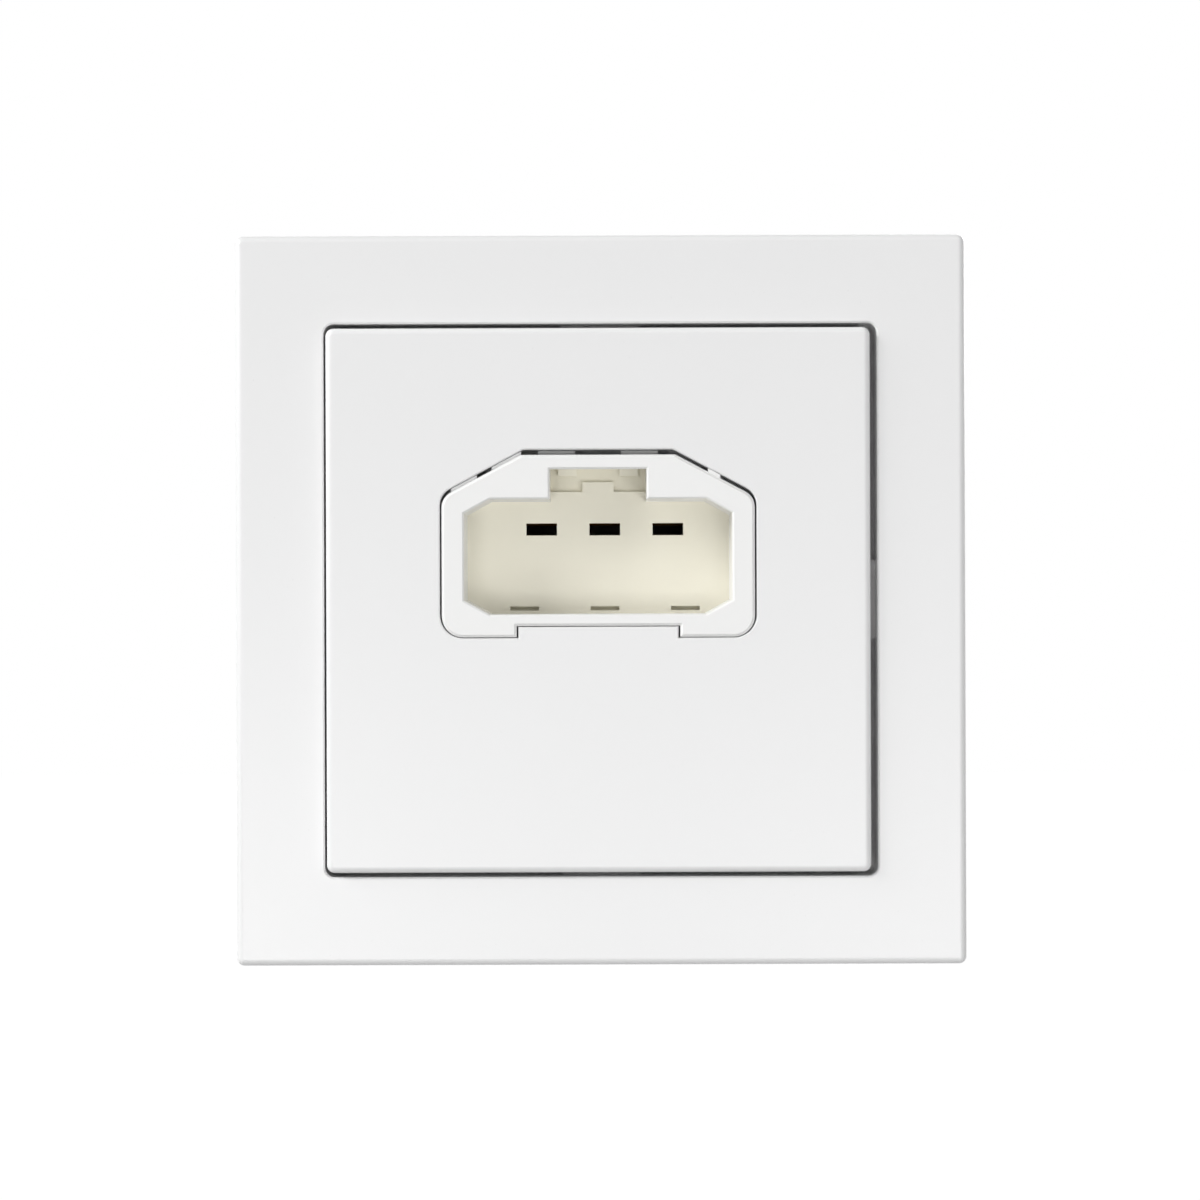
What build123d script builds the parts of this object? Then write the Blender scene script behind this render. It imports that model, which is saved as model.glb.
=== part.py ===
"""Flush lighting connection outlet: frame, centre plate, keyed plug socket and screwless terminals."""
import os
from math import atan2, cos, degrees, hypot, radians, tan

from build123d import *

os.makedirs("parts", exist_ok=True)

# Sizes are in millimetres. The wall is the plane y = 0 and the front faces -Y. A height is measured out from
# the wall, so a height below zero lies inside the wall box.

# Support plate, a flat steel sheet screwed to the wall box
sheet = 1.2
support_margin = 5.5
support_corner = 4.0
window_gap = 0.3
box_pitch = 60.0
box_hole_radius = 2.1
box_head_radius = 3.4
box_head_height = 2.0
head_room = 0.4

# Centre plate
plate_size = 63.3
plate_proud = 1.0
plate_wall = 2.0
plate_corner = 0.9
plate_edge = 0.75
opening_edge = 0.15
skirt_wall = 1.5
collar_wall = 1.2
collar_depth = 2.4
plate_rib = 1.0
plate_rib_depth = 1.6
plate_rib_x = 25.0

# Snap hooks of the centre plate, which catch behind the support plate
hook_x = 14.0
hook_z = 22.0
hook_width = 4.6
hook_wall = 1.5
hook_barb = 0.8
hook_point = 1.8
hook_play = 0.15
hook_bend_room = 1.2

# Cover frame. It floats on its gap and rests a little to the right of the insert.
frame_size = 85.0
frame_front = 8.5
frame_wall = 2.0
frame_rim = 1.8
frame_corner = 0.85
frame_edge = 0.8
frame_gap = 0.56
frame_float = 0.28
well_wall = 1.5
well_corner = 1.2
well_edge = 0.2
ledge_reach = 3.4
ledge_wall = 1.4
cap_wall = 0.8
cap_play = 0.5
frame_ribs = 4
frame_rib = 1.0
frame_rib_pitch = 18.0
frame_rib_lift = 0.6
rib_root = 0.1

# Keyed opening in the centre plate, set above its middle
key_half_width = 18.4
key_top = 17.5
key_top_half = 8.7
key_slope = 28.0
key_foot = -4.4
key_top_corner = 1.0
key_shoulder = 2.2
key_foot_corner = 2.7
tongue_half_width = 9.3
tongue_height = 1.3

# Gaps between that opening and the shroud
gap_top = 0.62
gap_slope = 0.42
gap_side = 0.2
gap_foot = 0.1

# Spacers on the shroud, in the upper gaps
spacer_play = 0.06
spacer_back = 0.8
top_spacer_x = 4.85
top_spacer_width = 4.3
top_spacer_back = 3.0
inner_spacer_x = 10.65
inner_spacer_width = 3.4
outer_spacer_x = 15.6
outer_spacer_width = 3.0
lug_x = 13.5
lug_width = 1.4
lug_back = 0.06

# Shroud with the plug recess
shroud_proud = 0.1
shroud_edge = 0.3
shroud_corner = 0.3
shroud_side_wall = 2.6
shroud_top_wall = 1.63
shroud_foot_wall = 1.33
mouth_cut_width = 3.0
mouth_cut_height = 1.65
mouth_edge = 0.2
notch_half_width = 5.65
notch_height = 3.5
notch_rim = 2.0
notch_relief = 0.55
recess_depth = 10.0
recess_draft = 0.5
flange_wall = 2.2
flange_margin = 0.8
flange_foot = 3.4
flange_corner = 3.0
boss_z = 3.5
boss_radius = 2.6
boss_cap = 0.8
web_root = 0.8

# Contact block, the floor of the recess
block_wall = 1.6
block_margin = 2.8
block_cut = 7.9
block_corner = 1.5
block_depth = 20.0
floor_wall = 2.0
contact_offset = 0.78
contact_pitch = 7.5
contact_drop = 3.35
slot_width = 3.65
slot_height = 1.45
slit_pitch = 9.55
slit_width = 3.4
slit_height = 0.5
slit_depth = 1.2
slit_lift = 0.35
pocket_lift = 1.1
pocket_depth = 1.0
tab_half_width = 1.85
tab_height = 1.15
pad_x = 3.65
pad_width = 2.2
pad_height = 1.1

# Contacts, folded from bronze strip
strip = 0.5
strip_bend = 0.6
leaf_width = 5.0
leaf_flare = 1.6
leaf_throat = 0.78
leaf_root = 1.45
leaf_lead = 2.0
leaf_set_back = 1.6
blade_pass_width = 4.0
blade_pass_height = 1.7
jaw_room = 0.6
link_lap = 0.6

# Screwless terminals behind the contacts
chamber_width = 9.2
chamber_partition = 2.6
screw_wall = 1.75
chamber_height = 9.2
chamber_low = -6.6
chamber_depth = 10.4
rail_play = 0.3
rail_end = 1.0
spring_sheet = 0.4
spring_bend = 1.3
spring_play = 0.5
spring_slot = 0.8
spring_start = 1.4
spring_bend_at = 1.8
spring_reach = 4.6
spring_tip_gap = 0.15

# Release buttons
button_width = 3.6
button_height = 2.2
button_z = -0.9
button_play = 0.12
button_collar = 0.6
button_collar_length = 1.0
button_collar_play = 0.05
button_rest = 0.1
button_proud = 1.0
button_slot = 0.8

# Rear cover and its wire entries
cover_wall = 2.2
cover_edge = 0.5
wire_entry = 3.2
wire_side = 0.4
wire_z = -4.6
funnel = 0.6
funnel_depth = 0.9

# Screws
thread_play = 0.03
hole_play = 0.35
cover_thread = 1.25
cover_head_radius = 2.6
cover_head_height = 1.7
cover_bite = 4.0
pilot_room = 0.5
support_thread = 1.25
support_head_radius = 2.6
support_head_height = 1.6
support_screw_inset = 4.5
support_screw_drop = 4.65
support_tail = 1.6
cross_width = 0.7
cross_length = 2.8
cross_depth = 0.9

# Heights that several pieces share
plate_front = frame_front + plate_proud
shroud_front = plate_front + shroud_proud
ledge_top = sheet + ledge_wall
head_top = sheet + box_head_height + head_room
cap_top = head_top + cap_wall
flange_top = sheet + flange_wall
recess_floor = shroud_front - recess_depth
block_rear = recess_floor - block_depth
chamber_front = block_rear + chamber_depth
cover_rear = block_rear - cover_wall
pilot_end = recess_floor + cover_bite + pilot_room

# Plan sizes that several pieces share
support_size = box_pitch + 2 * support_margin
frame_opening = plate_size + 2 * frame_gap
tongue_top = key_foot + tongue_height
mouth_half_width = key_half_width - gap_side - shroud_side_wall
mouth_bottom = tongue_top + gap_foot + shroud_foot_wall
notch_top = key_top - gap_top - shroud_top_wall
mouth_top = notch_top - notch_height
pocket_low = mouth_top + pocket_lift
contact_z = mouth_top - contact_drop
chamber_high = chamber_low + chamber_height
terminal_pitch = chamber_width + chamber_partition
wire_spread = (chamber_width - wire_entry) / 2 - wire_side
boss_x = contact_offset + terminal_pitch + chamber_width / 2 + screw_wall + cover_thread + hole_play
flange_half = boss_x + boss_radius + flange_margin
flange_high = hook_z - hook_wall / 2 - flange_margin
flange_low = key_foot - flange_foot
support_screw_x = flange_half - support_screw_inset
support_screw_z = flange_high - support_screw_drop
shroud_gaps = {"top": gap_top, "slope": gap_slope, "side": gap_side, "foot": gap_foot}
box_screws = [(-box_pitch / 2, 0), (box_pitch / 2, 0), (0, -box_pitch / 2), (0, box_pitch / 2)]
hook_places = [(x, z) for x in (-hook_x, hook_x) for z in (-hook_z, hook_z)]
boss_places = [(-boss_x, boss_z), (boss_x, boss_z)]
support_screw_places = [(-support_screw_x, support_screw_z), (support_screw_x, support_screw_z)]
poles = {"line": -1, "earth": 0, "neutral": 1}


def slab(outline, low, high):
    """Extrude a front-view outline between two heights above the wall."""
    return extrude(Plane.XZ.offset(low) * outline, amount=high - low)


def side_prism(points, left, right):
    """Extrude a side-view outline of (height, z) points between two x values."""
    outline = make_face(Polyline(*[(-height, z) for height, z in points], close=True))
    return extrude(Plane.YZ.offset(left) * outline, amount=right - left)


def folded_strip(points, thickness, bend, left, right):
    """Fold sheet metal along a side-view path of (height, z) points."""
    path = FilletPolyline(*[(-height, z) for height, z in points], radius=bend)
    return extrude(Plane.YZ.offset(left) * trace(path, thickness), amount=right - left)


def square(size, corner):
    """A square outline with rounded corners, about the middle."""
    return RectangleRounded(size, size, corner)


def span(left, right, low, high):
    """A plain rectangle between two x values and two z values."""
    return Pos((left + right) / 2, (low + high) / 2) * Rectangle(right - left, high - low)


def mirrored(right, radii):
    """A closed outline from its right half, listed from the top down."""
    left = [(-x, z) for x, z in reversed(right)]
    return make_face(FilletPolyline(*right, *left, radius=radii + radii[::-1], close=True))


def key_outline(top=0.0, slope=0.0, side=0.0, foot=0.0):
    """The plate's keyed opening, or the outline of what sits in it with these gaps."""
    half = key_half_width - side
    high = key_top - top
    low = key_foot + foot
    rise = tan(radians(key_slope))
    slope_top = key_top - slope / cos(radians(key_slope))
    high_half = key_top_half + (slope_top - high) / rise
    shoulder = slope_top - (half - key_top_half) * rise
    step_half = tongue_half_width + side
    right = [
        (high_half, high),
        (half, shoulder),
        (half, low),
        (step_half, low),
        (step_half, tongue_top + foot),
    ]
    radii = [
        max(key_top_corner - top, shroud_corner),
        key_shoulder - side,
        key_foot_corner - side,
        0,
        0,
    ]
    return mirrored(right, radii)


def mouth_outline():
    """The plug recess without its key notch: a rectangle with its corners cut."""
    right = [
        (mouth_half_width - mouth_cut_width, mouth_top),
        (mouth_half_width, mouth_top - mouth_cut_height),
        (mouth_half_width, mouth_bottom + mouth_cut_height),
        (mouth_half_width - mouth_cut_width, mouth_bottom),
    ]
    return mirrored(right, [0] * len(right))


def block_outline():
    """The outline of the contact block and of the cover behind it."""
    half = boss_x + block_margin
    high = notch_top + notch_relief + block_wall
    low = chamber_low - block_wall
    right = [
        (half - block_cut, high),
        (half, high - block_cut),
        (half, low + block_corner),
        (half - block_corner, low),
    ]
    return mirrored(right, [0] * len(right))


def front_edges(part):
    """The edges round the outside of the foremost flat face."""
    face = part.faces().filter_by(Plane.XZ).sort_by(Axis.Y)[0]
    return face.outer_wire().edges()


def opening_edges(part):
    """The edges round the opening in the foremost flat face."""
    face = part.faces().filter_by(Plane.XZ).sort_by(Axis.Y)[0]
    return face.inner_wires()[0].edges()


def head_squares(margin):
    """Squares round the heads of the box screws, with this margin round their room."""
    side = 2 * (box_head_radius + head_room + margin)
    return [Pos(x, z) * Rectangle(side, side) for x, z in box_screws]


def screw(radius, head_radius, head_height, length):
    """A cheese-head screw along +Z with its head's underside at the origin and a cross recess."""
    shank = Pos(0, 0, -length / 2) * Cylinder(radius, length)
    head = Pos(0, 0, head_height / 2) * Cylinder(head_radius, head_height)
    recess = Pos(0, 0, head_height - cross_depth / 2) * Box(cross_length, cross_width, cross_depth)
    return shank + head - recess - Rot(0, 0, 90) * recess


# Cover frame: hollow from behind, with a well and a ledge that the centre plate clamps on the support plate.
# Caps on the ledge close it over the heads of the box screws.
rim_inside = frame_size - 2 * frame_rim
well_outside = frame_opening + 2 * well_wall
ledge_inside = frame_opening - 2 * ledge_reach
cover_frame = slab(square(frame_size, frame_corner), 0, frame_front)
cover_frame = fillet(front_edges(cover_frame), frame_edge)
cover_frame -= slab(Rectangle(rim_inside, rim_inside), 0, sheet)
channel = Rectangle(rim_inside, rim_inside) - Rectangle(well_outside, well_outside)
cover_frame -= slab(channel, sheet, frame_front - frame_wall)
cover_frame -= slab(square(frame_opening, well_corner), ledge_top, frame_front)
cover_frame -= slab(Rectangle(ledge_inside, ledge_inside), sheet, ledge_top)
rib_middle = (rim_inside + well_outside) / 4
rib_length = (rim_inside - well_outside) / 2 + 2 * rib_root
rib_row = (frame_ribs - 1) * frame_rib_pitch
for number in range(frame_ribs):
    place = number * frame_rib_pitch - rib_row / 2
    for side in (-1, 1):
        upright = Pos(place, side * rib_middle) * Rectangle(frame_rib, rib_length)
        level = Pos(side * rib_middle, place) * Rectangle(rib_length, frame_rib)
        cover_frame += slab(upright, sheet + frame_rib_lift, frame_front - frame_wall)
        cover_frame += slab(level, sheet + frame_rib_lift, frame_front - frame_wall)
ledge = Rectangle(frame_opening, frame_opening) - Rectangle(ledge_inside, ledge_inside)
for cap in head_squares(cap_wall):
    cover_frame += slab(cap & ledge, sheet, cap_top)
for room in head_squares(0):
    cover_frame -= slab(room, sheet, head_top)
cover_frame = chamfer(opening_edges(cover_frame), well_edge)
cover_frame = Pos(frame_float, 0, 0) * cover_frame

# Centre plate: a shallow tray with a collar round the keyed opening and four snap hooks
skirt_inside = plate_size - 2 * skirt_wall
plate_back = plate_front - plate_wall
centre_plate = slab(square(plate_size, plate_corner), ledge_top, plate_front)
centre_plate = fillet(front_edges(centre_plate), plate_edge)
centre_plate -= slab(Rectangle(skirt_inside, skirt_inside), ledge_top, plate_back)
for x in (-plate_rib_x, plate_rib_x):
    upright = span(x - plate_rib / 2, x + plate_rib / 2, -skirt_inside / 2, skirt_inside / 2)
    centre_plate += slab(upright, plate_back - plate_rib_depth, plate_back)
collar = offset(key_outline(), collar_wall, kind=Kind.INTERSECTION)
centre_plate += slab(collar, plate_back - collar_depth, plate_back)
centre_plate -= slab(key_outline(), ledge_top, plate_front)
centre_plate = chamfer(opening_edges(centre_plate), opening_edge)
for x, z in hook_places:
    out = 1 if z > 0 else -1
    inner = z - out * hook_wall / 2
    outer = z + out * hook_wall / 2
    hook = [
        (plate_back, inner),
        (plate_back, outer),
        (-hook_play, outer),
        (-hook_play, outer + out * hook_barb),
        (-hook_point, outer),
        (-hook_point, inner),
    ]
    centre_plate += side_prism(hook, x - hook_width / 2, x + hook_width / 2)
for clearing in head_squares(cap_wall + cap_play):
    centre_plate -= slab(clearing, ledge_top, cap_top + cap_play)

# Shroud: a keyed tube with the tapered plug recess, a flange and two screw bosses
shroud_outline = key_outline(**shroud_gaps)
socket_shroud = slab(shroud_outline, recess_floor, shroud_front)
socket_shroud = chamfer(front_edges(socket_shroud), shroud_edge)
flange = span(-flange_half, flange_half, flange_low, flange_high)
flange = chamfer(flange.vertices(), flange_corner)
socket_shroud += slab(flange, sheet, flange_top)
web_inside = key_half_width - gap_side - web_root
boss_web = span(web_inside, boss_x, boss_z - boss_radius / 2, boss_z + boss_radius / 2)
for side, (x, z) in zip((-1, 1), boss_places):
    web = boss_web if side > 0 else mirror(boss_web, Plane.YZ)
    socket_shroud += slab(web, recess_floor, flange_top)
    socket_shroud += slab(Pos(x, z) * Circle(boss_radius), recess_floor, pilot_end + boss_cap)
    socket_shroud -= slab(Pos(x, z) * Circle(cover_thread + thread_play), recess_floor, pilot_end)
for x, z in support_screw_places:
    socket_shroud -= slab(Pos(x, z) * Circle(support_thread + hole_play), sheet, flange_top)

# Spacers on the shroud that centre it in the opening, with a lug near the front on the right
spacer_ring = key_outline(spacer_play, spacer_play, spacer_play, spacer_play) - shroud_outline
top_half = top_spacer_width / 2
inner_half = inner_spacer_width / 2
outer_half = outer_spacer_width / 2
lug_half = lug_width / 2
spacers = [
    (span(-top_spacer_x - top_half, -top_spacer_x + top_half, mouth_top, key_top), top_spacer_back),
    (span(top_spacer_x - top_half, top_spacer_x + top_half, mouth_top, key_top), top_spacer_back),
    (span(-inner_spacer_x - inner_half, -inner_spacer_x + inner_half, mouth_top, key_top), spacer_back),
    (span(-outer_spacer_x - outer_half, -outer_spacer_x + outer_half, mouth_top, key_top), spacer_back),
    (span(lug_x - lug_half, lug_x + lug_half, mouth_top, key_top), lug_back),
]
for window, back in spacers:
    socket_shroud += slab(spacer_ring & window, flange_top, shroud_front - back)

# The plug recess and its key notch, which opens upward behind the front rim
draft = recess_depth * tan(radians(recess_draft))
mouth = Plane.XZ.offset(shroud_front) * mouth_outline()
socket_shroud -= extrude(mouth, amount=-recess_depth, taper=recess_draft)
notch = span(-notch_half_width, notch_half_width, contact_z, notch_top)
relief = span(-notch_half_width, notch_half_width, contact_z, notch_top + notch_relief)
socket_shroud -= slab(notch, recess_floor, shroud_front)
socket_shroud -= slab(relief, recess_floor, shroud_front - notch_rim)
socket_shroud = chamfer(opening_edges(socket_shroud), mouth_edge)

# Support plate: window for the shroud, holes for the box screws and slots for the plate's hooks
window = offset(shroud_outline, window_gap, kind=Kind.INTERSECTION)
for x, z in boss_places:
    lobe = 2 * (boss_radius + window_gap)
    window += Pos(x, z) * Rectangle(lobe, lobe)
support_plate = slab(square(support_size, support_corner) - window, 0, sheet)
for x, z in box_screws:
    support_plate -= slab(Pos(x, z) * Circle(box_hole_radius), 0, sheet)
for x, z in hook_places:
    out = 1 if z > 0 else -1
    reach = z + out * (hook_wall / 2 + hook_play)
    back = z - out * (hook_wall / 2 + hook_bend_room)
    wide = hook_width / 2 + 2 * hook_play
    support_plate -= slab(span(x - wide, x + wide, min(reach, back), max(reach, back)), 0, sheet)
for x, z in support_screw_places:
    support_plate -= slab(Pos(x, z) * Circle(support_thread + thread_play), 0, sheet)

# Contact block: contact slots and key pocket in front, contact and terminal chambers open to the rear
contact_block = slab(block_outline(), block_rear, recess_floor)
pocket_top = notch_top + notch_relief
tab_top = pocket_low + tab_height
pocket = span(-notch_half_width, notch_half_width, pocket_low, pocket_top)
pocket -= span(-tab_half_width, tab_half_width, pocket_low, tab_top)
for x in (-pad_x, pad_x):
    pocket -= span(x - pad_width / 2, x + pad_width / 2, pocket_top - pad_height, pocket_top)
contact_block -= slab(pocket, recess_floor - pocket_depth, recess_floor)
slit_z = mouth_bottom + draft + slit_lift + slit_height / 2
for column in poles.values():
    slot = Pos(contact_offset + column * contact_pitch, contact_z) * Rectangle(slot_width, slot_height)
    slit = Pos(contact_offset + column * slit_pitch, slit_z) * Rectangle(slit_width, slit_height)
    contact_block -= slab(slot, recess_floor - floor_wall, recess_floor)
    contact_block -= slab(slit, recess_floor - slit_depth, recess_floor)
jaw_half_width = leaf_width / 2 + jaw_room
jaw_half_height = leaf_flare + strip / 2 + jaw_room / 2
for column in poles.values():
    jaw_x = contact_offset + column * contact_pitch
    terminal_x = contact_offset + column * terminal_pitch
    jaw_left = jaw_x - jaw_half_width
    jaw_right = jaw_x + jaw_half_width
    jaw = span(jaw_left, jaw_right, contact_z - jaw_half_height, contact_z + jaw_half_height)
    link = span(jaw_left, jaw_right, chamber_high - link_lap, contact_z)
    chamber = span(terminal_x - chamber_width / 2, terminal_x + chamber_width / 2, chamber_low, chamber_high)
    contact_block -= slab(jaw, block_rear, recess_floor - floor_wall)
    contact_block -= slab(link, block_rear, chamber_front)
    contact_block -= slab(chamber, block_rear, chamber_front)
for x, z in boss_places:
    contact_block -= slab(Pos(x, z) * Circle(cover_thread + hole_play), block_rear, recess_floor)

# Rear cover: wire entries with funnels, guides for the buttons and holes for the long screws
funnel_slope = degrees(atan2(funnel, funnel_depth))
rear_cover = slab(block_outline(), cover_rear, block_rear)
rear_cover = chamfer(rear_cover.faces().sort_by(Axis.Y)[-1].outer_wire().edges(), cover_edge)
for column in poles.values():
    terminal_x = contact_offset + column * terminal_pitch
    guide = Rectangle(button_width + 2 * button_play, button_height + 2 * button_play)
    rear_cover -= slab(Pos(terminal_x, button_z) * guide, cover_rear, block_rear)
    for x in (terminal_x - wire_spread, terminal_x + wire_spread):
        entry = Pos(x, wire_z) * Rectangle(wire_entry, wire_entry)
        funnel_mouth = Pos(x, wire_z) * Rectangle(wire_entry + 2 * funnel, wire_entry + 2 * funnel)
        rear_cover -= slab(entry, cover_rear, block_rear)
        lead_in = Plane.XZ.offset(cover_rear) * funnel_mouth
        rear_cover -= extrude(lead_in, amount=funnel_depth, taper=funnel_slope)
for x, z in boss_places:
    rear_cover -= slab(Pos(x, z) * Circle(cover_thread + hole_play), cover_rear, block_rear)

# Each pole has a contact, a clamp spring and a release button
bus = chamber_front - strip / 2
rail_z = chamber_low + strip / 2
leaf_tip = recess_floor - floor_wall - leaf_set_back
contacts = {}
springs = {}
buttons = {}
for pole, column in poles.items():
    jaw_x = contact_offset + column * contact_pitch
    terminal_x = contact_offset + column * terminal_pitch
    leaf = (jaw_x - leaf_width / 2, jaw_x + leaf_width / 2)
    upper_leaf = [
        (leaf_tip, contact_z + leaf_flare),
        (leaf_tip - leaf_lead, contact_z + leaf_throat),
        (bus, contact_z + leaf_root),
        (bus, chamber_high - link_lap),
    ]
    lower_leaf = [
        (leaf_tip, contact_z - leaf_flare),
        (leaf_tip - leaf_lead, contact_z - leaf_throat),
        (bus, contact_z - leaf_root),
    ]
    rail_half = chamber_width / 2 - rail_play
    rail = [(bus, chamber_high - rail_play), (bus, rail_z), (block_rear + rail_end, rail_z)]
    contact = folded_strip(upper_leaf, strip, strip_bend, *leaf)
    contact += folded_strip(lower_leaf, strip, strip_bend, *leaf)
    contact += folded_strip(rail, strip, strip_bend, terminal_x - rail_half, terminal_x + rail_half)
    blade_pass = Pos(jaw_x, contact_z) * Rectangle(blade_pass_width, blade_pass_height)
    contact -= slab(blade_pass, chamber_front - strip, chamber_front)
    contacts[pole] = contact

    spring_z = chamber_high - spring_sheet / 2
    spring_half = chamber_width / 2 - spring_play
    spring_rear = block_rear + spring_bend_at
    spring_tip_z = chamber_low + strip + spring_tip_gap + spring_sheet / 2
    spring_path = [
        (chamber_front - spring_start, spring_z),
        (spring_rear, spring_z),
        (spring_rear + spring_reach, spring_tip_z),
    ]
    spring = folded_strip(
        spring_path, spring_sheet, spring_bend, terminal_x - spring_half, terminal_x + spring_half
    )
    tongue_gap = span(
        terminal_x - spring_slot / 2, terminal_x + spring_slot / 2, chamber_low, button_z + button_height / 2
    )
    springs[pole] = spring - slab(tongue_gap, block_rear, chamber_front)

    # The button's nose stops just short of the spring's sloping leg, where its upper edge meets it
    spring_drop = spring_z - spring_tip_z
    leg_back = spring_sheet / 2 * hypot(spring_drop, spring_reach) / spring_drop
    nose_share = (spring_z - button_z - button_height / 2) / spring_drop
    nose = spring_rear + nose_share * spring_reach - leg_back - button_rest
    stem = Pos(terminal_x, button_z) * Rectangle(button_width, button_height)
    collar = Pos(terminal_x, button_z) * Rectangle(button_width + 2 * button_collar, button_height)
    collar_rear = block_rear + button_collar_play
    button = slab(stem, cover_rear - button_proud, nose)
    button += slab(collar, collar_rear, collar_rear + button_collar_length)
    blade = Pos(terminal_x, button_z) * Rectangle(button_width, button_slot)
    button -= slab(blade, cover_rear - button_proud, cover_rear - button_proud / 2)
    buttons[pole] = button

# Screws: the long pair comes from behind, the short pair from the front
cover_screw_length = recess_floor + cover_bite - cover_rear
cover_screw = screw(cover_thread, cover_head_radius, cover_head_height, cover_screw_length)
cover_screws = [Pos(x, -cover_rear, z) * Rot(-90, 0, 0) * cover_screw for x, z in boss_places]
support_screw = screw(support_thread, support_head_radius, support_head_height, flange_top + support_tail)
support_screws = [Pos(x, -flange_top, z) * Rot(90, 0, 0) * support_screw for x, z in support_screw_places]

# One file for each piece
export_step(cover_frame, "parts/cover_frame.step")
export_step(centre_plate, "parts/centre_plate.step")
export_step(socket_shroud, "parts/socket_shroud.step")
export_step(contact_block, "parts/contact_block.step")
export_step(support_plate, "parts/support_plate.step")
export_step(rear_cover, "parts/rear_cover.step")
for pole in poles:
    export_step(contacts[pole], f"parts/{pole}_contact.step")
    export_step(springs[pole], f"parts/{pole}_spring.step")
    export_step(buttons[pole], f"parts/{pole}_button.step")
export_step(Compound(children=cover_screws), "parts/cover_screws.step")
export_step(Compound(children=support_screws), "parts/support_screws.step")
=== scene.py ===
"""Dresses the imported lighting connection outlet: finishes, small details and a plain stage."""
import math

import bmesh
import bpy
from bpy.props import FloatProperty, FloatVectorProperty, PointerProperty
from mathutils import Matrix, Vector


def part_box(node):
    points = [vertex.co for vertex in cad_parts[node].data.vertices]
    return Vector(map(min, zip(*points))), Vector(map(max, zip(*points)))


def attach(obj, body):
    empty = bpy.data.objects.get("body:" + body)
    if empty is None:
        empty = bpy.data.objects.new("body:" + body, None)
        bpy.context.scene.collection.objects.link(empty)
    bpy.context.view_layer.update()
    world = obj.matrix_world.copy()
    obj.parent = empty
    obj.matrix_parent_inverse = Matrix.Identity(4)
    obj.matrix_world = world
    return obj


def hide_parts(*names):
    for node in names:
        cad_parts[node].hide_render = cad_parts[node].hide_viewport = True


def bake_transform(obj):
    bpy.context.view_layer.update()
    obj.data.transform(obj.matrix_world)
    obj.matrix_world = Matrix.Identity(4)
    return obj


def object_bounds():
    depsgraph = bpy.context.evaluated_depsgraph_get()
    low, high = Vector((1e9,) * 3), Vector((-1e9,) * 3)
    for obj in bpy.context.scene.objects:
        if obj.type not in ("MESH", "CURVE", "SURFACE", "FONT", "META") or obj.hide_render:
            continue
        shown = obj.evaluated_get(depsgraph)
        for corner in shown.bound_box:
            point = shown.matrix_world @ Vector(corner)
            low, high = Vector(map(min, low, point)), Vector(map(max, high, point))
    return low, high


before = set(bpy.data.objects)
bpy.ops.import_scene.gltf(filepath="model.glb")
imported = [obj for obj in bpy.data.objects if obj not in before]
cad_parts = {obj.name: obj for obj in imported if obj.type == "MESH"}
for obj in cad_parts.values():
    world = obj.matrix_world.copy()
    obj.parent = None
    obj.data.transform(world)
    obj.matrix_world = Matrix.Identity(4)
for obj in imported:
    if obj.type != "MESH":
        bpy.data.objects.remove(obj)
cad_low, cad_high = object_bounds()

bl_info = {
    "name": "Lighting connection outlet",
    "version": (1, 0, 0),
    "blender": (4, 5, 0),
    "location": "View3D > Sidebar > Outlet",
    "description": "Finishes, small details and a studio stage for a flush lighting connection outlet",
    "category": "Object",
}

MM = 0.001
WELD = 0.001 * MM
POLES = ("line", "earth", "neutral")
OUTLET = "outlet"

# Sizes of the patterns in the finishes, in millimetres
FLOW_MM = 14.0
ZINC_DUST_MM = 0.4
STREAK_DEPTH_MM = 0.02
ZINC_DEPTH_MM = 0.03

# How far the gloss of a moulding wanders either way
GLOSS_SPREAD = 0.05

# Width of a rolling streak as a share of its length
STREAK_ASPECT = 0.04

# Edges sharper than this stay sharp on a smooth piece
SHARP_ANGLE = math.radians(30)

# The floor's half width in metres, its own tone, and the light that lifts it where it is seen
FLOOR_HALF = 6.0
FLOOR_TONE = 0.3
FLOOR_LIFT = 0.95

# Each lamp's name, its size and distance in metres, and the direction that it stands in
LAMPS = (
    ("key", 0.5, 1.2, (-0.75, -0.5, 0.43)),
    ("side", 0.4, 0.8, (-0.86, -0.2, 0.47)),
    ("low_left", 0.2, 1.0, (-0.17, -0.97, -0.17)),
    ("low_right", 0.2, 1.0, (0.17, -0.97, -0.17)),
    ("fill", 0.4, 0.8, (0.5, -0.75, 0.43)),
    ("bounce", 0.25, 0.6, (0.45, -0.8, -0.4)),
    ("rear", 0.6, 0.9, (0.6, 1.0, 0.5)),
)


def from_hex(code):
    """Linear red, green and blue of an sRGB hex colour."""
    parts = [int(code[i:i + 2], 16) / 255 for i in (0, 2, 4)]
    return [c / 12.92 if c <= 0.04045 else ((c + 0.055) / 1.055) ** 2.4 for c in parts]


def colour(name, description, code):
    """A colour setting whose default is an sRGB hex value."""
    return FloatVectorProperty(
        name=name,
        description=description,
        subtype="COLOR",
        size=3,
        min=0.0,
        max=1.0,
        default=from_hex(code),
    )


def length(name, description, millimetres):
    """A length setting whose default is given in millimetres."""
    return FloatProperty(
        name=name,
        description=description,
        unit="LENGTH",
        min=0.0,
        precision=6,
        default=millimetres * MM,
    )


def power(name, description, watts):
    """A setting for the power of a lamp."""
    return FloatProperty(name=name, description=description, unit="POWER", min=0.0, default=watts)


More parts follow.
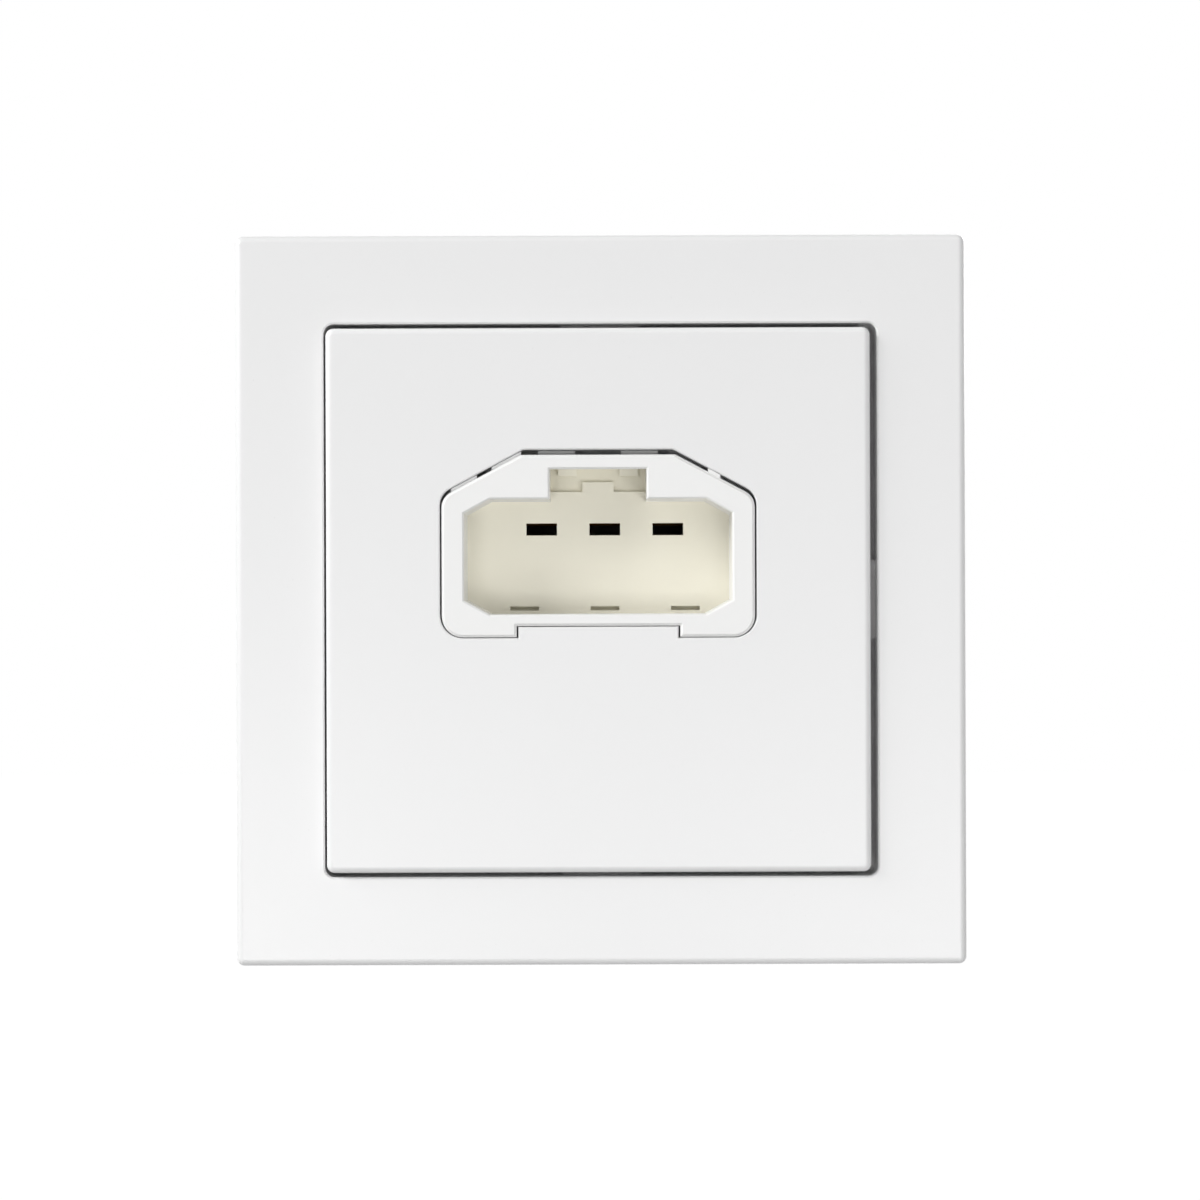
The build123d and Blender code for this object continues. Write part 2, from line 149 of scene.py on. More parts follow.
class OutletColours(bpy.types.PropertyGroup):
    """Colours of the outlet's materials"""

    white: colour("White mouldings", "Frame and centre plate", "F0F0F0")
    shroud: colour("White shroud", "Socket shroud round the recess", "F5F5F4")
    cream: colour("Cream block", "Insulating block at the bottom of the recess", "F3EFDE")
    grey: colour("Grey cover", "Cover over the terminals", "B4B6B5")
    orange: colour("Release buttons", "Buttons that free the wires", "D2691E")
    zinc: colour("Zinc plate", "Galvanised support plate", "C6C9CB")
    screw: colour("Screws", "Blue-passivated zinc on the screws", "BCC0C6")
    bronze: colour("Bronze", "Browned bronze of the contacts", "A0743F")
    stainless: colour("Stainless", "Spring steel of the clamps", "CBCAC6")


class OutletSizes(bpy.types.PropertyGroup):
    """Sizes of the details that are added to the outlet"""

    thread_pitch: length("Thread pitch", "Pitch of the support screws' thread", 0.5)
    thread_depth: length("Thread depth", "How far the thread stands off the shank", 0.2)
    thread_foot: length("Thread foot", "From the screw's axis to the middle of the thread", 1.27)
    thread_start: length("Thread start", "From the support plate's back to the thread", 0.3)
    sign_height: length("Sign height", "Height of the moulded terminal signs", 2.4)
    sign_relief: length("Sign relief", "How far the signs stand off the cover", 0.35)
    sign_lift: length("Sign lift", "From a release button up to the middle of its sign", 5.0)
    sign_edge: length("Sign edge", "Softening of the earth sign's edges", 0.03)
    gauge_length: length("Strip length", "Bare wire on the moulded strip gauge", 12.0)
    gauge_lift: length("Strip gauge lift", "From the signs up to the strip gauge", 5.5)
    gauge_jacket: length("Gauge jacket", "Height of the insulated end on the gauge", 2.4)
    gauge_core: length("Gauge core", "Height of the bare wire on the gauge", 0.9)
    gauge_line: length("Gauge line", "Width of the gauge's measuring line and its end marks", 0.3)
    gauge_mark: length("Gauge mark", "Height of the end marks", 1.6)
    gauge_mark_drop: length("Mark drop", "From the bare wire down to the end marks", 2.1)
    gauge_line_drop: length("Line drop", "From the bare wire down to the measuring line", 2.3)
    gauge_edge: length("Gauge edge", "Softening of the gauge's edges", 0.05)
    pin_radius: length("Ejector pin", "Radius of the ejector marks behind the frame", 1.3)
    pin_relief: length("Ejector relief", "How far the ejector marks stand up", 0.12)
    pin_rim: length("Ejector rim", "Width of the rim round each ejector mark", 0.25)
    pin_pitch: length("Ejector pitch", "From one ejector mark to the next", 18.0)
    pin_inset: length("Ejector inset", "From the frame's outer edge to the ejector marks", 5.3)
    frame_wall: length("Frame wall", "Thickness of the frame's front wall", 2.0)
    arrow_height: length("Arrow height", "Height of the pressed arrow on the support plate", 5.0)
    arrow_relief: length("Arrow relief", "How far the arrow is pressed out", 0.4)
    arrow_edge: length("Arrow edge", "Softening of the arrow's stem", 0.1)
    spring_sheet: length("Spring sheet", "Thickness of the clamp springs", 0.4)


class OutletStage(bpy.types.PropertyGroup):
    """Camera and light"""

    camera_distance: length("Camera distance", "From the camera to the centre plate", 430.0)
    camera_shift: length("Camera shift", "How far the camera stands to the right", 0.19)
    camera_lens: FloatProperty(
        name="Lens", description="Focal length in mm on a 36 mm sensor", default=111.1
    )
    camera_roll: FloatProperty(
        name="Camera roll",
        description="Small turn of the camera",
        subtype="ANGLE",
        default=math.radians(0.19),
    )
    key_power: power("Key light", "Large lamp at the upper left", 5.6)
    side_power: power("Side light", "Lamp that grazes the front from the upper left", 3.1)
    low_left_power: power("Low left light", "Small lamp below the camera, on its left", 1.2)
    low_right_power: power("Low right light", "Small lamp below the camera, on its right", 0.97)
    fill_power: power("Fill light", "Lamp at the upper right that fills the recess", 0.86)
    bounce_power: power("Bounce light", "Small lamp at the lower right", 0.57)
    rear_power: power("Rear light", "Lamp behind the outlet", 5.0)
    ambient: FloatProperty(
        name="Ambient", description="Level of the even soft light", min=0.0, default=0.2
    )
    floor_drop: length("Floor drop", "How far the floor lies under the outlet", 260.0)


def add_node(tree, kind, inputs=None, **settings):
    """Add a shader node, set its properties, and set or link its inputs."""
    node = tree.nodes.new(kind)
    for name, value in settings.items():
        setattr(node, name, value)
    for name, value in (inputs or {}).items():
        socket = node.inputs[name]
        if isinstance(value, bpy.types.NodeSocket):
            tree.links.new(value, socket)
        else:
            socket.default_value = value
    return node


def new_material(name):
    """An empty node material, its tree and its output node."""
    material = bpy.data.materials.new(name)
    material.use_nodes = True
    tree = material.node_tree
    tree.nodes.clear()
    return material, tree, add_node(tree, "ShaderNodeOutputMaterial")


def per_metre(millimetres):
    """Texture scale that gives a pattern of this size on Object coordinates, in metres."""
    return 1.0 / (millimetres * MM)


def tone_pair(tint, darker, lighter):
    """A colour made darker and lighter by factors, as the two ends of a colour mix."""
    return {
        end: (*(min(1.0, c * factor) for c in tint), 1.0)
        for end, factor in (("A", darker), ("B", lighter))
    }


def moulded_plastic(name, tint, roughness, grain_mm, grain_depth_mm, mottle, ior):
    """Injection-moulded plastic: an even body colour with faint flow marks, over the tool's grain."""
    material, tree, output = new_material(name)
    place = add_node(tree, "ShaderNodeTexCoord").outputs["Object"]
    flow = add_node(
        tree,
        "ShaderNodeTexNoise",
        {"Vector": place, "Scale": per_metre(FLOW_MM), "Detail": 3.0, "Roughness": 0.5},
    )
    body = add_node(
        tree,
        "ShaderNodeMix",
        {"Factor": flow.outputs["Fac"], **tone_pair(tint, 1.0 - mottle, 1.0 + mottle)},
        data_type="RGBA",
    )
    # The grain is drawn coarser than it is, because the real one is too fine to show
    grain = add_node(
        tree,
        "ShaderNodeTexNoise",
        {"Vector": place, "Scale": per_metre(grain_mm), "Detail": 2.0},
    )
    gloss = add_node(
        tree,
        "ShaderNodeMapRange",
        {
            "Value": grain.outputs["Fac"],
            "To Min": roughness - GLOSS_SPREAD,
            "To Max": roughness + GLOSS_SPREAD,
        },
    )
    bump = add_node(
        tree,
        "ShaderNodeBump",
        {"Height": grain.outputs["Fac"], "Strength": 0.35, "Distance": grain_depth_mm * MM},
    )
    shader = add_node(
        tree,
        "ShaderNodeBsdfPrincipled",
        {
            "Base Color": body.outputs["Result"],
            "Roughness": gloss.outputs["Result"],
            "Normal": bump.outputs["Normal"],
            "IOR": ior,
        },
    )
    tree.links.new(shader.outputs["BSDF"], output.inputs["Surface"])
    return material


def rolled_metal(name, tint, roughness, streak, streak_mm):
    """Rolled or drawn metal: fine streaks along its length that vary tone and gloss."""
    material, tree, output = new_material(name)
    place = add_node(tree, "ShaderNodeTexCoord").outputs["Object"]
    along = add_node(
        tree, "ShaderNodeMapping", {"Vector": place, "Scale": (1.0, STREAK_ASPECT, 1.0)}
    )
    lines = add_node(
        tree,
        "ShaderNodeTexNoise",
        {"Vector": along.outputs["Vector"], "Scale": per_metre(streak_mm), "Detail": 3.0},
    )
    tone = add_node(
        tree,
        "ShaderNodeMix",
        {"Factor": lines.outputs["Fac"], **tone_pair(tint, 1.0 - streak, 1.0 + streak)},
        data_type="RGBA",
    )
    gloss = add_node(
        tree,
        "ShaderNodeMapRange",
        {"Value": lines.outputs["Fac"], "To Min": roughness - 0.08, "To Max": roughness + 0.1},
    )
    bump = add_node(
        tree,
        "ShaderNodeBump",
        {"Height": lines.outputs["Fac"], "Strength": 0.25, "Distance": STREAK_DEPTH_MM * MM},
    )
    shader = add_node(
        tree,
        "ShaderNodeBsdfPrincipled",
        {
            "Base Color": tone.outputs["Result"],
            "Metallic": 1.0,
            "Roughness": gloss.outputs["Result"],
            "Normal": bump.outputs["Normal"],
        },
    )
    tree.links.new(shader.outputs["BSDF"], output.inputs["Surface"])
    return material


def galvanised_steel(name, tint, spangle_mm):
    """Hot-dip zinc on steel sheet: a mosaic of dull crystals that each catch the light differently."""
    material, tree, output = new_material(name)
    place = add_node(tree, "ShaderNodeTexCoord").outputs["Object"]
    crystals = add_node(
        tree, "ShaderNodeTexVoronoi", {"Vector": place, "Scale": per_metre(spangle_mm)}
    )
    pick = add_node(tree, "ShaderNodeSeparateColor", {"Color": crystals.outputs["Color"]})
    dust = add_node(
        tree,
        "ShaderNodeTexNoise",
        {"Vector": place, "Scale": per_metre(ZINC_DUST_MM), "Detail": 4.0},
    )
    blend = add_node(
        tree,
        "ShaderNodeMath",
        {0: pick.outputs["Red"], 1: dust.outputs["Fac"]},
        operation="MULTIPLY",
    )
    tone = add_node(
        tree,
        "ShaderNodeMix",
        {"Factor": blend.outputs["Value"], **tone_pair(tint, darker=0.72, lighter=1.12)},
        data_type="RGBA",
    )
    gloss = add_node(
        tree,
        "ShaderNodeMapRange",
        {"Value": pick.outputs["Green"], "To Min": 0.3, "To Max": 0.52},
    )
    bump = add_node(
        tree,
        "ShaderNodeBump",
        {"Height": dust.outputs["Fac"], "Strength": 0.2, "Distance": ZINC_DEPTH_MM * MM},
    )
    shader = add_node(
        tree,
        "ShaderNodeBsdfPrincipled",
        {
            "Base Color": tone.outputs["Result"],
            "Metallic": 1.0,
            "Roughness": gloss.outputs["Result"],
            "Normal": bump.outputs["Normal"],
        },
    )
    tree.links.new(shader.outputs["BSDF"], output.inputs["Surface"])
    return material


def dress(node, material):
    """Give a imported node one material."""
    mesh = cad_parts[node].data
    mesh.materials.clear()
    mesh.materials.append(material)


def new_piece(name, shape, material):
    """Turn a bmesh into a piece that takes its finish from a slot."""
    mesh = bpy.data.meshes.new(name)
    shape.to_mesh(mesh)
    shape.free()
    mesh.materials.append(material)
    piece = bpy.data.objects.new(name, mesh)
    bpy.context.scene.collection.objects.link(piece)
    return piece


def add_piece(name, shape, material, body):
    """Turn a bmesh into a piece that rides on a body and takes its finish from a slot."""
    piece = new_piece(name, shape, material)
    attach(piece, body)


def face_outward(shape):
    """Point all faces of one closed shape outward."""
    bmesh.ops.recalc_face_normals(shape, faces=shape.faces)
    if shape.calc_volume(signed=True) < 0.0:
        bmesh.ops.reverse_faces(shape, faces=shape.faces)


def rear_facing(place):
    """Takes a drawing in the X-Y plane to this place, to be read from behind."""
    turn = Matrix(((-1, 0, 0), (0, 0, 1), (0, 1, 0))).to_4x4()
    return Matrix.Translation(place) @ turn


def add_bar(shape, centre, size, edge):
    """Add a bar with softened edges to a bmesh."""
    grow = Matrix.Translation(centre) @ Matrix.Diagonal((*size, 1.0))
    bar = bmesh.ops.create_cube(shape, size=1.0, matrix=grow)
    edges = {e for v in bar["verts"] for e in v.link_edges}
    bmesh.ops.bevel(
        shape, geom=list(edges), offset=edge, segments=2, affect="EDGES", profile=0.5, material=-1
    )


def raised_word(word, height, relief):
    """A raised word of this cap height in the X-Y plane, about its own middle."""
    curve = bpy.data.curves.new("word", "FONT")
    curve.body = word
    curve.size = height
    curve.extrude = relief
    holder = bpy.data.objects.new("word", curve)
    mesh = bpy.data.meshes.new_from_object(holder)
    shape = bmesh.new()
    shape.from_mesh(mesh)
    bpy.data.meshes.remove(mesh)
    bpy.data.objects.remove(holder)
    bpy.data.curves.remove(curve)
    bmesh.ops.remove_doubles(shape, verts=shape.verts, dist=WELD)
    xs = [v.co.x for v in shape.verts]
    ys = [v.co.y for v in shape.verts]
    grow = height / (max(ys) - min(ys))
    middle = Vector((-(max(xs) + min(xs)) / 2, -(max(ys) + min(ys)) / 2, 0.0))
    bmesh.ops.translate(shape, vec=middle, verts=shape.verts)
    bmesh.ops.scale(shape, vec=(grow, grow, 1.0), verts=shape.verts)
    face_outward(shape)
    return shape


class OUTLET_OT_white_mouldings(bpy.types.Operator):
    """Finish the frame, the centre plate and the shroud as white moulded plastic"""

    bl_idname = "outlet.white_mouldings"
    bl_label = "White mouldings"

    def execute(self, context):
        colours = context.scene.outlet_colours
        # Polycarbonate from a polished tool: neutral white, a soft satin sheen, hardly any grain
        white = moulded_plastic(
            "white_polycarbonate",
            colours.white,
            roughness=0.3,
            grain_mm=0.35,
            grain_depth_mm=0.004,
            mottle=0.004,
            ior=1.58,
        )
        for node in ("cover_frame", "centre_plate"):
            dress(node, white)
        self.ejector_marks(context.scene.outlet_sizes, white)
        # Polyamide of the socket: a shade lighter than the covers and a little duller
        shroud = moulded_plastic(
            "white_polyamide",
            colours.shroud,
            roughness=0.36,
            grain_mm=0.35,
            grain_depth_mm=0.006,
            mottle=0.006,
            ior=1.53,
        )
        dress("socket_shroud", shroud)
        return {"FINISHED"}

    def ejector_marks(self, sizes, white):
        """Round marks of the ejector pins in the hollow behind the frame, three along each side."""
        low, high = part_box("cover_frame")
        middle = (low + high) / 2
        reach = (high.x - low.x) / 2 - sizes.pin_inset
        bed = low.y + sizes.frame_wall
        dish = sizes.pin_relief / 2
        shape = bmesh.new()
        for step in (-sizes.pin_pitch, 0.0, sizes.pin_pitch):
            for x, z in ((step, reach), (step, -reach), (reach, step), (-reach, step)):
                place = Vector((middle.x + x, bed, middle.z + z))
                turn = Matrix.Translation(place) @ Matrix.Rotation(-math.pi / 2, 4, "X")
                pin = bmesh.ops.create_cone(
                    shape,
                    cap_ends=True,
                    segments=32,
                    radius1=sizes.pin_radius + sizes.pin_relief,
                    radius2=sizes.pin_radius,
                    depth=2 * sizes.pin_relief,
                    matrix=turn,
                )
                caps = {f for v in pin["verts"] for f in v.link_faces if f.normal.y > 0.9}
                bmesh.ops.inset_region(
                    shape,
                    faces=list(caps),
                    thickness=sizes.pin_rim,
                    depth=-dish,
                    use_even_offset=True,
                )
        add_piece("ejector_marks", shape, white, OUTLET)


class OUTLET_OT_contact_block(bpy.types.Operator):
    """Finish the insulating block as cream moulded polyester"""

    bl_idname = "outlet.contact_block"
    bl_label = "Contact block"

    def execute(self, context):
        # Polybutylene terephthalate, natural cream: duller than the white mouldings, with flow marks
        cream = moulded_plastic(
            "cream_pbt",
            context.scene.outlet_colours.cream,
            roughness=0.45,
            grain_mm=0.5,
            grain_depth_mm=0.01,
            mottle=0.02,
            ior=1.55,
        )
        dress("contact_block", cream)
        return {"FINISHED"}


class OUTLET_OT_rear_cover(bpy.types.Operator):
    """Finish the cover over the terminals as grey moulded polyamide"""

    bl_idname = "outlet.rear_cover"
    bl_label = "Rear cover"

    def execute(self, context):
        # Glass-filled polyamide: matt light grey, slightly mottled by the fibres
        grey = moulded_plastic(
            "grey_polyamide",
            context.scene.outlet_colours.grey,
            roughness=0.55,
            grain_mm=0.3,
            grain_depth_mm=0.02,
            mottle=0.05,
            ior=1.53,
        )
        dress("rear_cover", grey)
        sizes = context.scene.outlet_sizes
        self.letters(sizes, grey)
        self.earth_sign(sizes, grey)
        self.strip_gauge(sizes, grey)
        return {"FINISHED"}

    def sign_place(self, sizes, pole):
        """Middle of a pole's sign, on the back of the cover above its release button."""
        low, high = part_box(f"{pole}_button")
        middle = (low + high) / 2
        return Vector((middle.x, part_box("rear_cover")[1].y, middle.z + sizes.sign_lift))

    def letters(self, sizes, grey):
        """Raised L and N over their terminals."""
        for pole, word in (("line", "L"), ("neutral", "N")):
            shape = raised_word(word, sizes.sign_height, sizes.sign_relief)
            there = rear_facing(self.sign_place(sizes, pole))
            bmesh.ops.transform(shape, matrix=there, verts=shape.verts)
            add_piece(f"{pole}_sign", shape, grey, OUTLET)

    def earth_sign(self, sizes, grey):
        """Raised earth sign: a stem over three bars that get shorter downward."""
        tall = sizes.sign_height
        deep = 2 * sizes.sign_relief
        edge = sizes.sign_edge
        stroke = 0.14 * tall
        stem_middle, stem_length = 0.285 * tall, 0.43 * tall
        bars = ((1.0, 0.02), (0.62, -0.24), (0.26, -0.5))
        shape = bmesh.new()
        add_bar(shape, (0.0, stem_middle, 0.0), (stroke, stem_length, deep), edge)
        for wide, up in bars:
            add_bar(shape, (0.0, up * tall, 0.0), (wide * tall, stroke, deep), edge)
        there = rear_facing(self.sign_place(sizes, "earth"))
        bmesh.ops.transform(shape, matrix=there, verts=shape.verts)
        add_piece("earth_sign", shape, grey, OUTLET)

    def strip_gauge(self, sizes, grey):
        """Raised picture of a stripped wire over a measuring line, which shows how much to bare."""
        place = self.sign_place(sizes, "earth") + Vector((0.0, 0.0, sizes.gauge_lift))
        bare = sizes.gauge_length
        jacket = 0.4 * bare
        line = sizes.gauge_line
        deep = 2 * sizes.sign_relief
        edge = sizes.gauge_edge
        jacket_middle = -(bare + jacket) / 2
        shape = bmesh.new()
        add_bar(shape, (jacket_middle, 0.0, 0.0), (jacket, sizes.gauge_jacket, deep), edge)
        add_bar(shape, (0.0, 0.0, 0.0), (bare, sizes.gauge_core, deep), edge)
        for x in (-bare / 2, bare / 2):
            add_bar(shape, (x, -sizes.gauge_mark_drop, 0.0), (line, sizes.gauge_mark, deep), edge)
        # The line is lower than its end marks, so that no two faces lie in one plane
        shallow = 0.8 * deep
        add_bar(shape, (0.0, -sizes.gauge_line_drop, 0.0), (bare, line, shallow), edge)
        bmesh.ops.transform(shape, matrix=rear_facing(place), verts=shape.verts)
        add_piece("strip_gauge", shape, grey, OUTLET)


class OUTLET_OT_release_buttons(bpy.types.Operator):
    """Finish the three release buttons as orange acetal"""

    bl_idname = "outlet.release_buttons"
    bl_label = "Release buttons"

    def execute(self, context):
        # Acetal: strong colour with a waxy half gloss
        orange = moulded_plastic(
            "orange_acetal",
            context.scene.outlet_colours.orange,
            roughness=0.38,
            grain_mm=0.3,
            grain_depth_mm=0.006,
            mottle=0.03,
            ior=1.48,
        )
        for pole in POLES:
            dress(f"{pole}_button", orange)
        return {"FINISHED"}


class OUTLET_OT_support_plate(bpy.types.Operator):
    """Finish the support plate as galvanised sheet"""

    bl_idname = "outlet.support_plate"
    bl_label = "Support plate"

    def execute(self, context):
        # Hot-dip galvanised sheet: pale grey crystals, each with its own tone and gloss
        sheet = galvanised_steel(
            "galvanised_sheet", context.scene.outlet_colours.zinc, spangle_mm=2.4
        )
        dress("support_plate", sheet)
        self.arrow(context.scene.outlet_sizes, sheet)
        return {"FINISHED"}

    def arrow(self, sizes, sheet):
        """An arrow pressed out of the sheet, which shows which edge goes up."""
        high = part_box("support_plate")[1]
        across, up = 0.45 * high.x, 0.82 * high.z
        place = Vector((across, high.y, up))
        tall = sizes.arrow_height
        deep = 2 * sizes.arrow_relief
        stem_middle, stem_width, stem_length = -0.16 * tall, 0.22 * tall, 0.68 * tall
        head_middle, head_foot, head_top = 0.35 * tall, 0.38 * tall, 0.32 * tall
        shape = bmesh.new()
        stem = (stem_width, stem_length, deep)
        add_bar(shape, (0.0, stem_middle, 0.0), stem, sizes.arrow_edge)
        bmesh.ops.create_cone(
            shape,
            cap_ends=True,
            segments=3,
            radius1=head_foot,
            radius2=head_top,
            depth=deep,
            matrix=Matrix.Translation((0.0, head_middle, 0.0)),
        )
        bmesh.ops.transform(shape, matrix=rear_facing(place), verts=shape.verts)
        add_piece("plate_arrow", shape, sheet, OUTLET)


class OUTLET_OT_contacts(bpy.types.Operator):
    """Finish the contacts as rolled bronze and the clamp springs as stainless strip"""

    bl_idname = "outlet.contacts"
    bl_label = "Contacts and springs"

    def execute(self, context):
        colours = context.scene.outlet_colours
        # Phosphor bronze strip, bare and browned: dull warm brown with fine streaks
        bronze = rolled_metal(
            "rolled_bronze", colours.bronze, roughness=0.48, streak=0.1, streak_mm=0.25
        )
        # Stainless spring strip: bright neutral grey with finer streaks
        steel = rolled_metal(
            "stainless_strip", colours.stainless, roughness=0.25, streak=0.08, streak_mm=0.2
        )
        for pole in POLES:
            dress(f"{pole}_contact", bronze)
            dress(f"{pole}_spring", steel)
            self.bending_spring(context.scene.outlet_sizes, pole, steel)
        return {"FINISHED"}

    def bending_spring(self, sizes, pole, steel):
        """The clamp spring as a welded copy of its own shape, smooth but sharp at its folds, in place
        of the imported one.
        """
        node = f"{pole}_spring"
        shape = bmesh.new()
        shape.from_mesh(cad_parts[node].data)
        bmesh.ops.remove_doubles(shape, verts=shape.verts, dist=WELD)
        for face in shape.faces:
            face.smooth = True
        spring = new_piece(f"{pole}_clamp", shape, steel)
        spring.data.set_sharp_from_angle(angle=SHARP_ANGLE)
        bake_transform(spring)
        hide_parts(node)


class OUTLET_OT_screws(bpy.types.Operator):
    """Finish the screws as passivated zinc"""

    bl_idname = "outlet.screws"
    bl_label = "Screws"

    def execute(self, context):
        # Blue-passivated zinc on steel: cool bright grey, almost even
        zinc = rolled_metal(
            "passivated_zinc",
            context.scene.outlet_colours.screw,
            roughness=0.32,
            streak=0.06,
            streak_mm=0.5,
        )
        for node in ("cover_screws", "support_screws"):
            dress(node, zinc)
        self.threads(context.scene.outlet_sizes, zinc)
        return {"FINISHED"}

    def threads(self, sizes, zinc):
        """Thread on the ends of the support screws that stand out behind the support plate."""
        low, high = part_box("support_screws")
        head = (high.z - low.z) / 2
        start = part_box("support_plate")[1].y + sizes.thread_start
        axis = Vector((low.x + head, start, (low.z + high.z) / 2))
        foot = Matrix.Translation(axis + Vector((sizes.thread_foot, 0.0, 0.0)))
        steps, turns = 24, 2
        shape = bmesh.new()
        rib = bmesh.ops.create_circle(
            shape,
            segments=3,
            radius=sizes.thread_depth,
            matrix=foot @ Matrix.Rotation(-math.pi / 2, 4, "Z"),
        )
        loop = list({e for v in rib["verts"] for e in v.link_edges})
        ends = bmesh.ops.spin(
            shape,
            geom=rib["verts"] + loop,
            cent=axis,
            axis=(0.0, 1.0, 0.0),
            dvec=(0.0, sizes.thread_pitch / steps, 0.0),
            angle=2 * math.pi * turns,
            steps=steps * turns,
        )
        last = [g for g in ends["geom_last"] if isinstance(g, bmesh.types.BMEdge)]
        bmesh.ops.contextual_create(shape, geom=loop)
        bmesh.ops.contextual_create(shape, geom=last)
        face_outward(shape)
        copied = bmesh.ops.duplicate(shape, geom=[*shape.verts, *shape.edges, *shape.faces])
        other = [g for g in copied["geom"] if isinstance(g, bmesh.types.BMVert)]
        across = (high.x - low.x - 2 * head, 0.0, 0.0)
        bmesh.ops.translate(shape, vec=across, verts=other)
        add_piece("screw_threads", shape, zinc, OUTLET)


def background_rays(tree):
    """Is 1 for the rays that show the background: seen, mirrored, or through something clear."""
    path = add_node(tree, "ShaderNodeLightPath").outputs
    mirrored = add_node(
        tree,
        "ShaderNodeMath",
        {0: path["Is Camera Ray"], 1: path["Is Glossy Ray"]},
        operation="MAXIMUM",
    )
    seen = add_node(
        tree,
        "ShaderNodeMath",
        {0: mirrored.outputs["Value"], 1: path["Is Transmission Ray"]},
        operation="MAXIMUM",
    )
    return seen.outputs["Value"]


def pale_floor():
    """Pale floor: matt, and lifted to white where it is seen or mirrored."""
    material, tree, output = new_material("pale_floor")
    seen = background_rays(tree)
    tone = (FLOOR_TONE, FLOOR_TONE, FLOOR_TONE, 1.0)
    matt = add_node(tree, "ShaderNodeBsdfDiffuse", {"Color": tone})
    lift = add_node(
        tree, "ShaderNodeEmission", {"Color": (1.0, 1.0, 1.0, 1.0), "Strength": FLOOR_LIFT}
    )
    both = add_node(
        tree, "ShaderNodeAddShader", {0: matt.outputs["BSDF"], 1: lift.outputs["Emission"]}
    )
    mix = add_node(
        tree,
        "ShaderNodeMixShader",
        {0: seen, 1: matt.outputs["BSDF"], 2: both.outputs["Shader"]},
    )
    tree.links.new(mix.outputs["Shader"], output.inputs["Surface"])
    return material


def add_lamp(name, watts, size, direction, distance, aim):
    """A square soft lamp in a direction and at a distance from a point, turned to face it."""
    place = Vector(aim) + distance * Vector(direction).normalized()
    lamp = bpy.data.lights.new(name, "AREA")
    lamp.shape = "SQUARE"
    lamp.size = size
    lamp.energy = watts
    holder = bpy.data.objects.new(name, lamp)
    holder.location = place
    holder.rotation_mode = "QUATERNION"
    holder.rotation_quaternion = (Vector(aim) - place).to_track_quat("-Z", "Y")
    bpy.context.scene.collection.objects.link(holder)


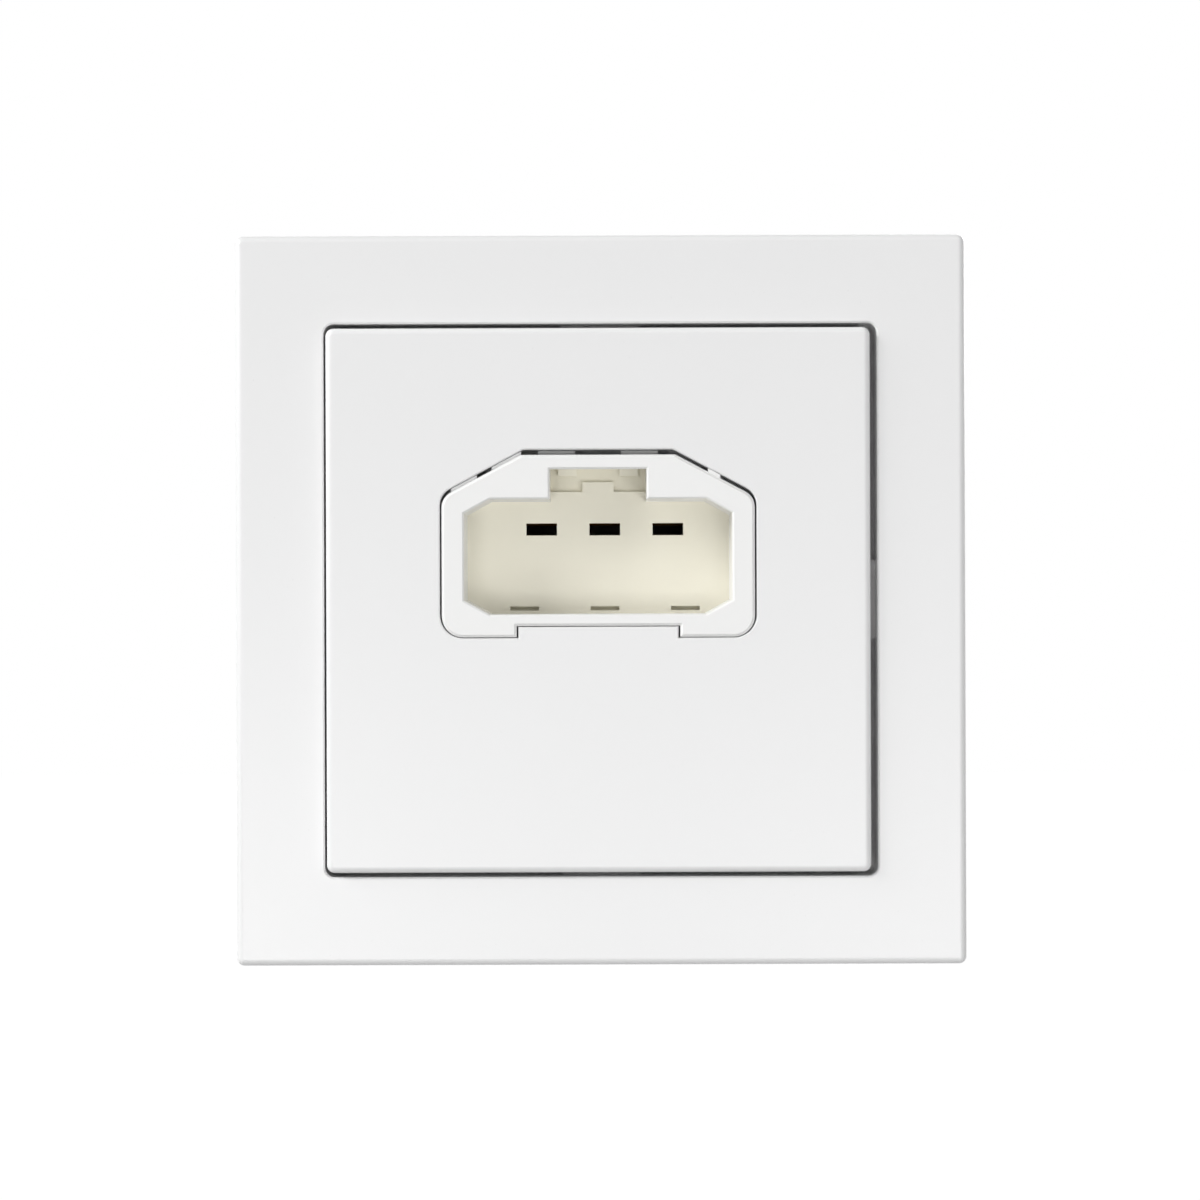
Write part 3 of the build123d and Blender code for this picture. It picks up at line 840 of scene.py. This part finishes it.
class OUTLET_OT_stage(bpy.types.Operator):
    """Add the floor, the soft studio light and the camera in front of the wall plane"""

    bl_idname = "outlet.stage"
    bl_label = "Stage"

    def execute(self, context):
        scene = context.scene
        settings = scene.outlet_stage
        self.floor(scene, settings)
        self.world(scene, settings)
        plate_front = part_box("centre_plate")[0].y
        aim = (0.0, plate_front, 0.0)
        for name, size, distance, direction in LAMPS:
            watts = getattr(settings, f"{name}_power")
            add_lamp(f"{name}_lamp", watts, size, direction, distance, aim)
        self.camera(scene, settings, plate_front)
        scene.view_settings.view_transform = "Standard"
        return {"FINISHED"}

    def camera(self, scene, settings, plate_front):
        """The camera that takes the photograph's view, straight on."""
        camera = bpy.data.cameras.new("camera")
        camera.sensor_width = 36.0
        camera.lens = settings.camera_lens
        holder = bpy.data.objects.new("camera", camera)
        away = plate_front - settings.camera_distance
        holder.location = (settings.camera_shift, away, 0.0)
        holder.rotation_euler = (math.pi / 2, settings.camera_roll, 0.0)
        scene.collection.objects.link(holder)
        scene.camera = holder

    def floor(self, scene, settings):
        """A wide pale floor under the outlet."""
        mesh = bpy.data.meshes.new("floor")
        shape = bmesh.new()
        bmesh.ops.create_grid(shape, x_segments=1, y_segments=1, size=FLOOR_HALF)
        level = (0.0, 0.0, cad_low.z - settings.floor_drop)
        bmesh.ops.translate(shape, vec=level, verts=shape.verts)
        shape.to_mesh(mesh)
        shape.free()
        mesh.materials.append(pale_floor())
        floor = bpy.data.objects.new("floor", mesh)
        scene.collection.objects.link(floor)

    def world(self, scene, settings):
        """White where it is seen or mirrored, and an even soft light for the rest."""
        scene.world = bpy.data.worlds.new("studio")
        scene.world.use_nodes = True
        tree = scene.world.node_tree
        tree.nodes.clear()
        seen = background_rays(tree)
        soft, white = (
            add_node(
                tree, "ShaderNodeBackground", {"Color": (1.0, 1.0, 1.0, 1.0), "Strength": strength}
            )
            for strength in (settings.ambient, 1.0)
        )
        mix = add_node(
            tree,
            "ShaderNodeMixShader",
            {0: seen, 1: soft.outputs["Background"], 2: white.outputs["Background"]},
        )
        add_node(tree, "ShaderNodeOutputWorld", {"Surface": mix.outputs["Shader"]})


STEPS = (
    OUTLET_OT_white_mouldings,
    OUTLET_OT_contact_block,
    OUTLET_OT_rear_cover,
    OUTLET_OT_release_buttons,
    OUTLET_OT_support_plate,
    OUTLET_OT_contacts,
    OUTLET_OT_screws,
    OUTLET_OT_stage,
)


class OUTLET_PT_panel(bpy.types.Panel):
    """Lists the outlet's steps in the sidebar"""

    bl_idname = "OUTLET_PT_panel"
    bl_label = "Lighting outlet"
    bl_space_type = "VIEW_3D"
    bl_region_type = "UI"
    bl_category = "Outlet"

    def draw(self, context):
        for step in STEPS:
            self.layout.operator(step.bl_idname)


SETTINGS = {
    "outlet_colours": OutletColours,
    "outlet_sizes": OutletSizes,
    "outlet_stage": OutletStage,
}


def register():
    """Add the settings, the steps and the panel."""
    for name, group in SETTINGS.items():
        bpy.utils.register_class(group)
        setattr(bpy.types.Scene, name, PointerProperty(type=group))
    for step in STEPS:
        bpy.utils.register_class(step)
    bpy.utils.register_class(OUTLET_PT_panel)


def unregister():
    """Take away what register added."""
    bpy.utils.unregister_class(OUTLET_PT_panel)
    for step in reversed(STEPS):
        bpy.utils.unregister_class(step)
    for name, group in reversed(list(SETTINGS.items())):
        delattr(bpy.types.Scene, name)
        bpy.utils.unregister_class(group)


def main():
    register()
    bpy.ops.outlet.white_mouldings()
    bpy.ops.outlet.contact_block()
    bpy.ops.outlet.rear_cover()
    bpy.ops.outlet.release_buttons()
    bpy.ops.outlet.support_plate()
    bpy.ops.outlet.contacts()
    bpy.ops.outlet.screws()
    bpy.ops.outlet.stage()


if __name__ == "__main__":
    main()
